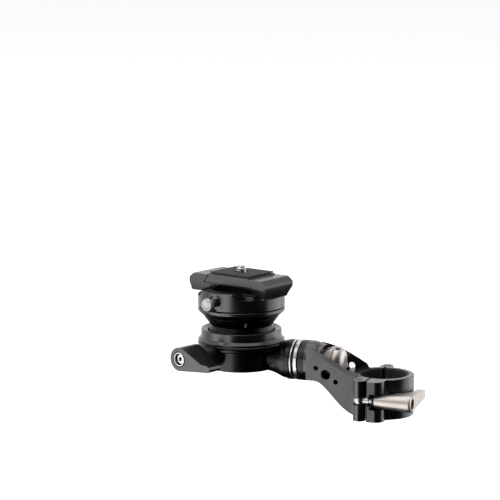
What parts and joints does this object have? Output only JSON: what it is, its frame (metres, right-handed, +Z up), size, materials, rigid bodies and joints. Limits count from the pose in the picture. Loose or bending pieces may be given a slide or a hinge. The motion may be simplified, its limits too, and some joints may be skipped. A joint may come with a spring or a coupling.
{
  "type": "ball head",
  "caption": "Levelling ball head with a panning dovetail clamp, on a rolling arm that a lever clamps to an upright round tube.",
  "frame": {"origin": "centre of the clamp's tube bore, at half the height of its band", "axes": "+Z up along the tube, -X from the tube to the head along the arm, +Y to the clamp's hinge"},
  "size_m": [0.1565, 0.0899, 0.0873],
  "materials": {
    "black_anodised": "satin black anodised",
    "titanium_anodised": "titanium-coloured anodised, satin",
    "polished_steel": "turned bright",
    "black_oxide_steel": "black oxide",
    "black_polymer": "smooth",
    "black_rubber": "matte",
    "brass": "turned"
  },
  "bodies": {
    "clamp": {"clamp_bracket": "black_anodised", "fixed_jaw_liner": "black_rubber", "jaw_hinge_pin": "black_oxide_steel", "bolt_pivot_pin": "black_oxide_steel", "arm_bush": "black_polymer", "arm_friction_ring": "polished_steel"},
    "moving_jaw": {"moving_jaw": "black_anodised", "moving_jaw_liner": "black_rubber"},
    "swing_bolt": {"swing_bolt": "polished_steel", "bolt_end_screw": "black_oxide_steel"},
    "lever_washer": {"lever_washer": "black_polymer"},
    "clamp_lever": {"clamp_lever": "titanium_anodised"},
    "base": {"base_body": "black_anodised", "arm_spindle": "polished_steel", "thrust_ring": "polished_steel", "arm_slip_disc": "black_polymer", "nut_spring_washer": "polished_steel", "ball_collar": "black_anodised", "bottom_cover": "black_anodised", "cover_screw_1": "black_oxide_steel", "cover_screw_2": "black_oxide_steel", "cover_screw_3": "black_oxide_steel"},
    "tension_nut": {"tension_nut": "titanium_anodised"},
    "dome_nut": {"dome_nut": "titanium_anodised"},
    "ball_friction_ring": {"ball_friction_ring": "black_polymer"},
    "ball": {"tilt_ball": "black_anodised", "pan_base": "black_anodised", "pan_centre_bolt": "black_oxide_steel", "pan_retainer": "polished_steel", "pan_bearing_ring": "black_polymer"},
    "ball_brake_shoe": {"ball_brake_shoe": "brass"},
    "ball_lock_screw": {"ball_lock_screw": "polished_steel", "lever_end_screw": "polished_steel", "lever_spring": "polished_steel"},
    "ball_lock_lever": {"ball_lock_lever": "black_anodised", "lever_insert": "polished_steel"},
    "pan": {"pan_body": "black_anodised", "quick_release_body": "black_anodised", "locating_key": "polished_steel", "front_guide_pin": "polished_steel", "back_guide_pin": "polished_steel", "clamp_screw_1": "black_oxide_steel", "clamp_screw_2": "black_oxide_steel", "clamp_screw_3": "black_oxide_steel", "clamp_screw_4": "black_oxide_steel"},
    "pan_brake_shoe": {"pan_brake_shoe": "brass"},
    "pan_lock_knob": {"pan_lock_knob": "polished_steel"},
    "sliding_jaw": {"sliding_jaw": "black_anodised"},
    "jaw_knob": {"jaw_knob": "black_anodised", "jaw_screw": "polished_steel"},
    "plate": {"quick_release_plate": "black_anodised", "plate_pad": "black_rubber"},
    "camera_screw": {"camera_screw": "polished_steel"}
  },
  "joints": [
    {"name": "bolt_swing", "type": "hinge", "parent": "clamp", "child": "swing_bolt", "pos_m": [-0.0084, -0.023, 0], "axis": [0, 0, -1], "range_deg": [0, 100]},
    {"name": "lever_washer_slide", "type": "slide", "parent": "swing_bolt", "child": "lever_washer", "axis": [1, 0, 0], "range_m": [0, 0.00241]},
    {"name": "clamp_lever_turn", "type": "hinge", "parent": "lever_washer", "child": "clamp_lever", "pos_m": [-0.0084, -0.023, 0], "axis": [1, 0, 0], "range_deg": [0, 1080]},
    {"name": "jaw_hinge", "type": "hinge", "parent": "clamp", "child": "moving_jaw", "pos_m": [-0.0039, 0.0228, 0], "axis": [0, 0, 1], "range_deg": [0, 3.05]},
    {"name": "arm_roll", "type": "hinge", "parent": "clamp", "child": "base", "pos_m": [-0.057, 0, 0.0172], "axis": [1, 0, 0], "continuous": true},
    {"name": "tension_nut_turn", "type": "hinge", "parent": "base", "child": "tension_nut", "pos_m": [-0.035, 0, 0.0172], "axis": [1, 0, 0], "range_deg": [0, 90]},
    {"name": "dome_nut_turn", "type": "hinge", "parent": "base", "child": "dome_nut", "pos_m": [-0.028, 0, 0.0172], "axis": [1, 0, 0], "range_deg": [0, 90]},
    {"name": "ball_turn", "type": "hinge", "parent": "base", "child": "ball_friction_ring", "pos_m": [-0.0935, 0, 0.0292], "axis": [0, 0, 1], "continuous": true},
    {"name": "ball_tilt", "type": "hinge", "parent": "ball_friction_ring", "child": "ball", "pos_m": [-0.0935, 0, 0.0292], "axis": [0, 1, 0], "range_deg": [-8, 8]},
    {"name": "ball_shoe_slide", "type": "slide", "parent": "base", "child": "ball_brake_shoe", "axis": [-0.3746, -0.9272, 0], "range_m": [0, 0.000347]},
    {"name": "ball_lock_turn", "type": "hinge", "parent": "ball_brake_shoe", "child": "ball_lock_screw", "pos_m": [-0.11036, -0.04172, 0.0235], "axis": [-0.3746, -0.9272, 0], "range_deg": [0, 100]},
    {"name": "lock_lever_pull", "type": "slide", "parent": "ball_lock_screw", "child": "ball_lock_lever", "axis": [-0.3746, -0.9272, 0], "range_m": [0, 0.003], "stiffness_N_per_m": 400, "springref_m": -0.002},
    {"name": "pan_turn", "type": "hinge", "parent": "ball", "child": "pan", "pos_m": [-0.0935, 0, 0.0532], "axis": [0, 0, 1], "continuous": true},
    {"name": "pan_shoe_slide", "type": "slide", "parent": "pan", "child": "pan_brake_shoe", "axis": [-0.3173, -0.9483, 0], "range_m": [0, 0.0005]},
    {"name": "pan_knob_turn", "type": "hinge", "parent": "pan_brake_shoe", "child": "pan_lock_knob", "pos_m": [-0.10302, -0.02845, 0.0544], "axis": [-0.3173, -0.9483, 0], "range_deg": [0, 180.5]},
    {"name": "jaw_slide", "type": "slide", "parent": "pan", "child": "sliding_jaw", "axis": [-0.9483, 0.3173, 0], "range_m": [0, 0.004]},
    {"name": "jaw_knob_turn", "type": "hinge", "parent": "sliding_jaw", "child": "jaw_knob", "pos_m": [-0.12859, 0.01174, 0.0607], "axis": [-0.9483, 0.3173, 0], "range_deg": [0, 1442]},
    {"name": "plate_slide", "type": "slide", "parent": "pan", "child": "plate", "axis": [0.3173, 0.9483, 0], "range_m": [-0.01, 0.01]},
    {"name": "camera_screw_turn", "type": "hinge", "parent": "plate", "child": "camera_screw", "pos_m": [-0.0935, 0, 0.0672], "axis": [0, 0, 1], "continuous": true}
  ],
  "couplings": [
    {"joint": "lever_washer_slide", "follows": "clamp_lever_turn", "m_per_rad": 0.00012732},
    {"joint": "jaw_hinge", "follows": "clamp_lever_turn", "ratio": 0.00278},
    {"joint": "ball_lock_turn", "follows": "ball_shoe_slide", "rad_per_m": 5026.5},
    {"joint": "pan_knob_turn", "follows": "pan_shoe_slide", "rad_per_m": 6283.2},
    {"joint": "jaw_knob_turn", "follows": "jaw_slide", "rad_per_m": 6283.2}
  ]
}
